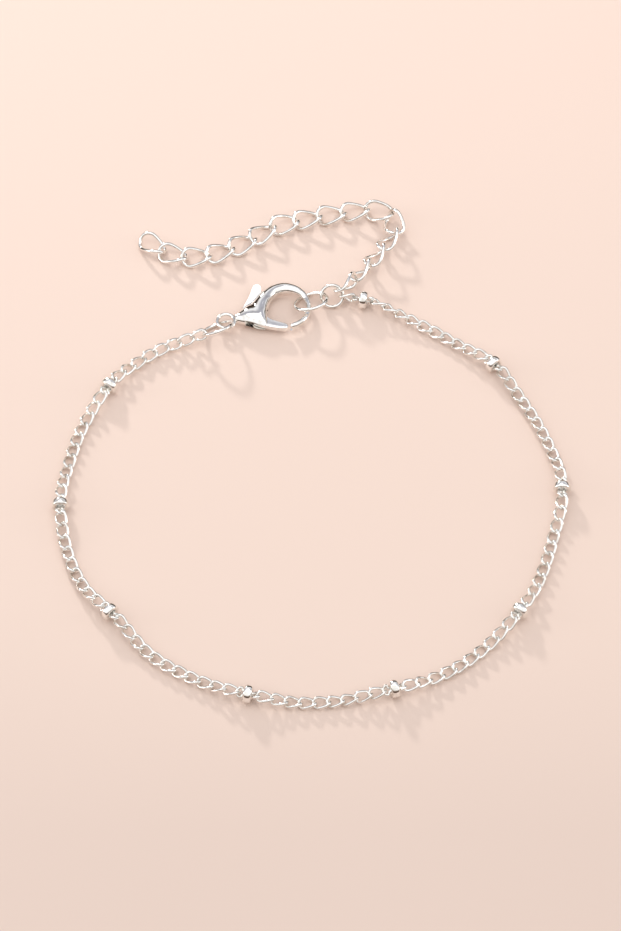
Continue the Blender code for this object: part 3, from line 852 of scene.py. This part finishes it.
@dataclass
class Extender:
    """Sixteen wider curb links from the join ring to a free end."""

    link: Link = Link(3.80 * MM, 2.60 * MM, 0.42 * MM, 0.42 * MM, 0.22 * MM)
    links: int = 16
    start_angle: float = math.radians(50)
    start_roll: float = math.radians(-75)
    drape_length: float = 4.5 * MM
    loose_roll: float = math.radians(5)
    seed: int = 11
    steps: int = 72
    sides: int = 16
    route: tuple[tuple[float, float], ...] = (
        (4.7, 22.8), (6.6, 25.1), (8.3, 27.8), (9.8, 30.3), (9.2, 32.7), (7.0, 33.5), (4.3, 33.2),
        (1.3, 32.7), (-1.3, 32.0), (-4.2, 31.1), (-5.9, 29.8), (-8.2, 28.4), (-10.9, 27.0),
        (-13.6, 26.5), (-16.2, 26.8), (-18.8, 28.7), (-20.6, 30.8),
    )

    def build(self, join_ring: JumpRing, material: bpy.types.Material) -> None:
        """Makes the links one by one.

        Args:
            join_ring: the ring that the first link hangs on.
            material: the links' finish.
        """
        grid = self.link.wire_grid(self.steps, self.sides)
        start = join_ring.bearing(self.start_angle, self.link.play)
        low = -grid[..., 2].min()
        along = np.arange(self.links + 1) * self.link.pitch
        rolls = fading_rolls(self.links, self.start_roll)
        heights = low + drape(along, self.drape_length, start[2] - low)
        heights = lifted(heights, grid, rolls, 0.0)
        heights[0] = start[2]
        strides = np.sqrt(self.link.pitch**2 - np.diff(heights) ** 2)
        curve = rounded_route(np.vstack([start[:2], np.array(self.route) * MM]))
        joints = np.column_stack([step_along(curve, strides), heights])
        loose = np.random.default_rng(self.seed).normal(0.0, self.loose_roll, self.links)
        loose[0] = 0.0
        axes, middles = link_frames(joints, rolls + loose)
        placed = lay_links(grid, axes, middles)
        for order in range(self.links):
            name = f"extender_link_{order + 1}"
            piece = mesh_from_grids(name + "_wire", placed[order : order + 1])
            dress(piece, material, Slot.EXTENDER, Body.BRACELET, name)


@dataclass
class Clasp:
    """The sprung lobster clasp: one body of hook, spine and tail loop, and its lever."""

    length: float = 8.90 * MM
    width: float = 6.20 * MM
    thickness: float = 1.80 * MM
    angle: float = math.radians(15.4)
    place: tuple[float, float] = (-9.72 * MM, 17.13 * MM)
    loop_diameter: float = 2.40 * MM
    loop_wire: float = 0.42 * MM
    lever_thickness: float = 0.62 * MM
    lever_clearance: float = 0.06 * MM
    lever_edge: float = 0.09 * MM
    thumb_fall: float = math.radians(9)
    pin_diameter: float = 0.60 * MM
    end_edge: float = 0.16 * MM
    squareness: float = 2.05
    pivot: tuple[float, float] = (0.270, -0.120)
    # Outside x y, inside x y and height of each section, as shares of length, width and thickness
    sections: tuple[tuple[float, ...], ...] = (
        (0.622, -0.505, 0.642, -0.392, 0.56), (0.740, -0.478, 0.738, -0.362, 0.52),
        (0.860, -0.378, 0.824, -0.285, 0.46), (0.955, -0.195, 0.891, -0.150, 0.42),
        (0.987, 0.020, 0.920, 0.008, 0.38), (0.966, 0.250, 0.895, 0.182, 0.40),
        (0.886, 0.440, 0.818, 0.300, 0.48), (0.752, 0.560, 0.712, 0.355, 0.62),
        (0.610, 0.568, 0.592, 0.328, 0.76), (0.490, 0.512, 0.492, 0.205, 0.90),
        (0.392, 0.430, 0.425, 0.040, 1.00), (0.316, 0.345, 0.392, -0.120, 1.00),
        (0.250, 0.262, 0.345, -0.345, 1.00), (0.182, 0.230, 0.252, -0.315, 1.00),
        (0.116, 0.178, 0.155, -0.225, 0.90), (0.053, 0.122, 0.065, -0.140, 0.66),
        (-0.014, 0.078, -0.014, -0.070, 0.50),
    )
    lever_outline: tuple[tuple[float, float], ...] = (
        (0.596, -0.492), (0.612, -0.388), (0.500, -0.288), (0.410, -0.190), (0.365, -0.060),
        (0.350, 0.100), (0.355, 0.250), (0.385, 0.390), (0.425, 0.500), (0.435, 0.590),
        (0.405, 0.655), (0.352, 0.650), (0.315, 0.580), (0.270, 0.470), (0.190, 0.335),
        (0.120, 0.225), (0.110, 0.110), (0.160, -0.050), (0.190, -0.190), (0.280, -0.290),
        (0.390, -0.385), (0.500, -0.460),
    )
    thumb_outline: tuple[tuple[float, float], ...] = (
        (0.050, 0.150), (0.182, 0.232), (0.250, 0.266), (0.316, 0.350), (0.392, 0.436),
        (0.500, 0.520), (0.500, 0.750), (0.000, 0.750),
    )
    slot_outline: tuple[tuple[float, float], ...] = (
        (0.680, -0.700), (0.625, -0.330), (0.590, 0.020), (0.440, 0.050), (0.385, 0.120),
        (0.385, 0.240), (0.412, 0.370), (0.470, 0.700), (-0.150, 0.700), (0.000, 0.040),
        (0.086, -0.128), (0.200, -0.700),
    )

    def point(self, shares: Array) -> Array:
        """Places of the clasp's plane in metres from the middle of its tail loop."""
        return np.asarray(shares) * (self.length, self.width) + (self.loop_diameter / 2, 0.0)

    def on_surface(self, local: Array) -> Array:
        """Places of the clasp's plane as x and y on the surface."""
        along = heading(self.angle)
        turn = np.array([along, [-along[1], along[0]]])
        return np.asarray(local) @ turn + np.array(self.place)

    def lay(self, points: Array) -> Array:
        """Points about the middle of the tail loop, put where the clasp lies."""
        height = points[..., 2:] + self.thickness / 2
        return np.concatenate([self.on_surface(points[..., :2]), height], axis=-1)

    def body_grid(self, steps: int = 150, sides: int = 32) -> Array:
        """Hook, spine and tail as one swept surface.

        The named sections are joined by a cubic. Each is a superellipse across the body, and
        both ends are drawn in by a quarter round.

        Args:
            steps: sections along the body.
            sides: points round each.

        Returns:
            A grid of points, closed round the body and open at its ends.
        """
        rows = rounded_route(np.array(self.sections), 12)
        outer, inner = self.point(rows[:, 0:2]), self.point(rows[:, 2:4])
        middle = (outer + inner) / 2
        far = distances(middle)
        rounding = self.end_edge * (1 - np.cos(np.linspace(0, math.pi / 2, 8)))
        inside = np.linspace(self.end_edge, far[-1] - self.end_edge, steps)[1:-1]
        places = np.concatenate([rounding, inside, (far[-1] - rounding)[::-1]])
        table = np.column_stack([middle, (outer - inner) / 2, rows[:, 4] * self.thickness / 2])
        table = np.column_stack([np.interp(places, far, column) for column in table.T])
        from_end = np.minimum(places, far[-1] - places) / self.end_edge
        inset = self.end_edge * (1 - np.sqrt(1 - (1 - np.clip(from_end, 0, 1)) ** 2))
        reach, half = table[:, 2:4], table[:, 4]
        reach = reach * (1 - inset / np.linalg.norm(reach, axis=1))[:, None]
        half = half - inset
        across, above = superellipse(sides, self.squareness)
        flat = table[:, None, 0:2] + reach[:, None] * across[None, :, None]
        return self.lay(np.concatenate([flat, (half[:, None] * above)[..., None]], axis=-1))

    def plate(self, name: str, outline: Array, thickness: float, edge: float = 0.0) -> bpy.types.Mesh:
        """A level plate of an outline, its rims rounded by quarter circles.

        Args:
            name: the mesh's name.
            outline: corners in the clasp's plane, in metres.
            thickness: the plate's thickness.
            edge: radius of the rims.

        Returns:
            The mesh.
        """
        turns = np.linspace(0, math.pi / 2, 6) if edge else np.zeros(1)
        inset = edge * (1 - np.sin(turns))
        level = thickness / 2 - edge * (1 - np.cos(turns)) if edge else np.array([thickness / 2])
        inset, level = np.concatenate([inset, inset[::-1]]), np.concatenate([-level, level[::-1]])
        along = unit(np.roll(outline, -1, axis=0) - np.roll(outline, 1, axis=0))
        inward = np.column_stack([-along[:, 1], along[:, 0]])
        if np.cross(outline, np.roll(outline, -1, axis=0)).sum() < 0:
            inward = -inward
        flat = outline[None] + inward[None] * inset[:, None, None]
        height = np.broadcast_to(level[:, None, None], (*flat.shape[:2], 1))
        return mesh_from_rows(name, self.lay(np.concatenate([flat, height], axis=-1)))

    def thumb_cutter(self) -> bpy.types.Mesh:
        """What is ground off the thumb plate: its top falls from its tip towards the viewer.

        The cut's height is the plate's top less the way back from the tip times the fall's tangent.
        """
        outline = self.point(np.array(self.thumb_outline))
        back = np.array([math.sin(self.angle), math.cos(self.angle)])
        tip = (self.point(np.array(self.lever_outline)) @ back).max()
        low = self.lever_thickness / 2 - math.tan(self.thumb_fall) * (tip - outline @ back)
        rows = [np.column_stack([outline, height]) for height in (low, np.full(len(low), self.thickness))]
        return mesh_from_rows("thumb_cutter", self.lay(np.array(rows)))

    def post(self, name: str, diameter: float, height: float) -> bpy.types.Mesh:
        """An upright round post on the lever's pivot."""
        angles = round_angles(32)
        circle = np.column_stack([np.cos(angles), np.sin(angles)]) * diameter / 2
        return self.plate(name, self.point(self.pivot) + circle, height)

    def loop_grid(self, steps: int = 72, sides: int = 20) -> Array:
        """The tail loop: round wire along a level circle."""
        angles = round_angles(steps)
        outward = np.column_stack([np.cos(angles), np.sin(angles), np.zeros(steps)])
        radius = (self.loop_diameter - self.loop_wire) / 2
        return self.lay(tube(outward * radius, -outward, self.loop_wire / 2, sides))

    def build(self, cast: bpy.types.Material, stamped: bpy.types.Material) -> None:
        """Makes the body with its tail loop, slot and pin, then the lever on the pin.

        Args:
            cast: the body's finish.
            stamped: the lever's finish.
        """
        slot_height = self.lever_thickness + 2 * self.lever_clearance
        room = self.point(np.array(self.slot_outline))
        body = add_object("clasp_body_cast", mesh_from_rows("clasp_body_cast", self.body_grid()))
        loop = mesh_from_grids("tail_loop", self.loop_grid()[None])
        join_solids(
            body,
            ("UNION", loop.data),
            ("DIFFERENCE", self.plate("lever_room", room, slot_height)),
            ("UNION", self.post("lever_pin", self.pin_diameter, (slot_height + self.thickness) / 2)),
        )
        bpy.data.objects.remove(loop)
        dress(body, cast, Slot.CLASP, Body.BRACELET, "clasp_body")
        outline = cut_corners(self.point(np.array(self.lever_outline)))
        lever_mesh = self.plate("clasp_lever_plate", outline, self.lever_thickness, self.lever_edge)
        lever = add_object("clasp_lever_plate", lever_mesh)
        bore = self.post("lever_bore", self.pin_diameter + 2 * self.lever_clearance, 2 * self.lever_thickness)
        join_solids(lever, ("DIFFERENCE", bore), ("DIFFERENCE", self.thumb_cutter()))
        dress(lever, stamped, Slot.CLASP, Body.LEVER, "clasp_lever")


def mesh_from_rows(name: str, grid: Array) -> bpy.types.Mesh:
    """A mesh of one surface that is closed round its columns, with a flat face on each end.

    Args:
        name: the mesh's name.
        grid: points: row, column, x y z.

    Returns:
        The mesh, its sides smooth and its faces outwards.
    """
    rows, columns = grid.shape[:2]
    points = grid.reshape(-1, 3)
    quads = grid_faces(rows, columns)[: (rows - 1) * columns]
    first, last = np.arange(columns), np.arange(columns) + (rows - 1) * columns
    middle = points.mean(axis=0)
    if volume_of(points - middle, quads) < 0:
        quads, first, last = quads[:, ::-1], first[::-1], last[::-1]
    mesh = bpy.data.meshes.new(name)
    mesh.from_pydata(points.tolist(), [], quads.tolist() + [first[::-1].tolist(), last.tolist()])
    smooth = np.ones(len(mesh.polygons), bool)
    smooth[-2:] = False
    mesh.polygons.foreach_set("use_smooth", smooth)
    mesh.update()
    return mesh


SHARP = math.radians(35)


def join_solids(piece: bpy.types.Object, *steps: tuple[str, bpy.types.Mesh]) -> None:
    """Adds solids to a piece or takes them away, and keeps the result as its mesh.

    Args:
        piece: the piece.
        *steps: each solid with UNION or DIFFERENCE, in order.
    """
    helpers = []
    for operation, mesh in steps:
        helper = add_object(mesh.name, mesh)
        modifier = piece.modifiers.new(mesh.name, "BOOLEAN")
        modifier.operation = operation
        modifier.object = helper
        modifier.solver = "EXACT"
        helpers.append(helper)
    graph = bpy.context.evaluated_depsgraph_get()
    done = bpy.data.meshes.new_from_object(piece.evaluated_get(graph))
    piece.modifiers.clear()
    piece.data = done
    done.set_sharp_from_angle(angle=SHARP)
    for helper in helpers:
        bpy.data.objects.remove(helper)


@dataclass
class RingSet:
    """The three jump rings: at the hook, where chain and extender join, and at the tail."""

    wire: float = 0.42 * MM
    play: float = 0.10 * MM
    hook_diameter: float = 4.25 * MM
    join_diameter: float = 2.90 * MM
    end_diameter: float = 4.00 * MM
    join_heading: float = math.radians(18)
    end_heading: float = math.radians(235)
    hook_hang: float = 0.0
    hook_shift: float = 0.3

    def place(self, clasp: Clasp) -> tuple[JumpRing, JumpRing, JumpRing]:
        """Works out where each ring lies, reaching into what it hooks on.

        Args:
            clasp: the clasp whose hook and tail loop the rings hang on.

        Returns:
            The hook's ring, the ring where the chains join, and the tail's ring.
        """
        loop = (clasp.loop_diameter - clasp.loop_wire) / 2
        hook_radius, join_radius, end_radius = (
            (diameter - self.wire) / 2 for diameter in (self.hook_diameter, self.join_diameter, self.end_diameter)
        )
        limb = clasp.sections[3]
        limb_middle = clasp.point(np.array([(limb[0] + limb[2]) / 2, self.hook_hang]))
        hook = clasp.on_surface(limb_middle + np.array([self.hook_shift * hook_radius, 0.0]))
        join_away = hook_radius + join_radius - 1.2 * self.wire - self.play
        join = hook + join_away * heading(self.join_heading)
        end_away = loop + end_radius - 2 * (self.wire + self.play)
        end = clasp.on_surface(np.zeros(2)) + end_away * heading(self.end_heading)
        return (
            self.ring("hook_ring", self.hook_diameter, hook, 30, -28, 100),
            self.ring("join_ring", self.join_diameter, join, 0, 48, 120),
            self.ring("end_ring", self.end_diameter, end, 30, -42, 150),
        )

    def ring(self, name: str, diameter: float, place: Array, level: float, lean: float, seam: float) -> JumpRing:
        """One ring, its angles given in degrees."""
        return JumpRing(
            name, diameter, self.wire, place, math.radians(level), math.radians(lean), math.radians(seam)
        )


@dataclass(frozen=True)
class Softbox:
    """A lamp that faces the bracelet: where it hangs in degrees and metres, its sides and its watts."""

    name: str
    azimuth: float
    elevation: float
    distance: float
    width: float
    height: float
    power: float
    colour: str = "#FFFEFC"

    def build(self) -> None:
        """Hangs the lamp, its azimuth counted from +X towards +Y."""
        lamp = bpy.data.lights.new(self.name, "AREA")
        lamp.shape = "RECTANGLE"
        lamp.size, lamp.size_y = self.width, self.height
        lamp.energy = self.power
        lamp.color = linear(self.colour)[:3]
        turn, rise = math.radians(self.azimuth), math.radians(self.elevation)
        away = Vector((math.cos(turn) * math.cos(rise), math.sin(turn) * math.cos(rise), math.sin(rise)))
        box = add_object(self.name, lamp)
        box.location = away * self.distance
        box.rotation_euler = away.to_track_quat("Z", "Y").to_euler()


@dataclass
class Studio:
    """A sweep of peach paper, soft lamps and a camera that looks down on the bracelet."""

    target: tuple[float, float, float] = (-0.13 * MM, -2.46 * MM, 0.0)
    elevation: float = math.radians(54)
    distance: float = 500 * MM
    focal_pixels: float = 4500.0
    picture_height: int = 931
    sensor: float = 36.0
    clip_start: float = 0.01
    floor_reach: float = 0.8
    lamps: tuple[Softbox, ...] = (
        Softbox("overhead_softbox", 105, 74, 0.45, 0.30, 0.30, 0.22),
        Softbox("key_lamp", 112, 19, 0.45, 0.045, 0.03, 0.95, "#FFFDFA"),
        Softbox("left_side_softbox", 180, 14, 0.60, 0.16, 0.16, 0.4),
        Softbox("right_side_softbox", 0, 14, 0.60, 0.16, 0.16, 0.25),
    )
    room_strength: float = 1.13
    # Shades of the room from the level in front (0) over the top (0.5) to the level behind (1)
    room_shades: tuple[tuple[float, str], ...] = (
        (0.0, "#4A382E"), (0.12, "#6A564A"), (0.20, "#F2EFEC"), (0.26, "#FFFFFF"), (0.58, "#FFFFFF"),
        (0.65, "#B4B4BC"), (0.72, "#A6A6B0"), (0.76, "#E0E0E4"), (0.81, "#EEEEF0"), (0.86, "#4E443C"),
        (0.96, "#2A1C14"),
    )

    def build(self) -> None:
        """Makes the floor, the lamps, the sky and the camera."""
        self.lay_floor()
        for lamp in self.lamps:
            lamp.build()
        self.light_sky()
        self.set_camera()

    def lay_floor(self) -> None:
        """Makes the paper: a level square, far wider than the view."""
        sides = ((-1, -1), (1, -1), (1, 1), (-1, 1))
        corners = [(x * self.floor_reach, y * self.floor_reach, 0.0) for x, y in sides]
        mesh = bpy.data.meshes.new("paper_sweep")
        mesh.from_pydata(corners, [], [(0, 1, 2, 3)])
        floor = add_object("paper_sweep", mesh)
        mesh.materials.append(PaperSweep().material())

    def light_sky(self) -> None:
        """Makes the room's light: white cards in front, overhead and behind, dark low down.

        Its brightness follows the angle from the level in front, over the top, to the level
        behind, as a share of half a turn: dark, white card, a grey gap, a white card, dark.
        """
        world = bpy.data.worlds.new("studio_room")
        world.use_nodes = True
        bpy.context.scene.world = world
        tree = world.node_tree
        background = tree.nodes["Background"]
        background.inputs["Strength"].default_value = self.room_strength
        place = add_node(tree, "ShaderNodeTexCoord")
        parts = add_node(tree, "ShaderNodeSeparateXYZ", links={"Vector": place.outputs["Generated"]})
        front = add_node(tree, "ShaderNodeMath", {1: -1.0}, {0: parts.outputs["Y"]}, operation="MULTIPLY")
        sides = {0: parts.outputs["Z"], 1: front.outputs[0]}
        angle = add_node(tree, "ShaderNodeMath", links=sides, operation="ARCTAN2")
        share = add_node(tree, "ShaderNodeMath", {1: math.pi}, {0: angle.outputs[0]}, operation="DIVIDE")
        shades = add_node(tree, "ShaderNodeValToRGB", links={"Fac": share.outputs[0]})
        set_stops(shades.color_ramp, self.room_shades)
        tree.links.new(shades.outputs["Color"], background.inputs["Color"])

    def set_camera(self) -> None:
        """Makes the camera: as far off as a studio shot is, its lens worked out in pixels."""
        lens = bpy.data.cameras.new("camera")
        lens.sensor_fit = "VERTICAL"
        lens.sensor_height = self.sensor
        lens.lens = self.focal_pixels * self.sensor / self.picture_height
        lens.clip_start = self.clip_start
        away = Vector((0.0, -math.cos(self.elevation), math.sin(self.elevation)))
        camera = add_object("camera", lens)
        camera.location = Vector(self.target) + away * self.distance
        camera.rotation_euler = away.to_track_quat("Z", "Y").to_euler()
        bpy.context.scene.camera = camera
        bpy.context.scene.view_settings.view_transform = "Standard"


def main() -> None:
    """Builds the studio, then the bracelet piece by piece."""
    Studio().build()
    clasp = Clasp()
    clasp.build(CLASP_PLATE.material(), LEVER_PLATE.material())
    hook_ring, join_ring, end_ring = RingSet().place(clasp)
    ring_plate = RING_PLATE.material()
    for ring in (hook_ring, join_ring, end_ring):
        ring.build(ring_plate)
    MainChain().build(join_ring, end_ring, CHAIN_PLATE.material(), BEAD_PLATE.material())
    Extender().build(join_ring, EXTENDER_PLATE.material())


if __name__ == "__main__":
    logging.basicConfig(level=logging.INFO, format="%(name)s: %(message)s")
    main()
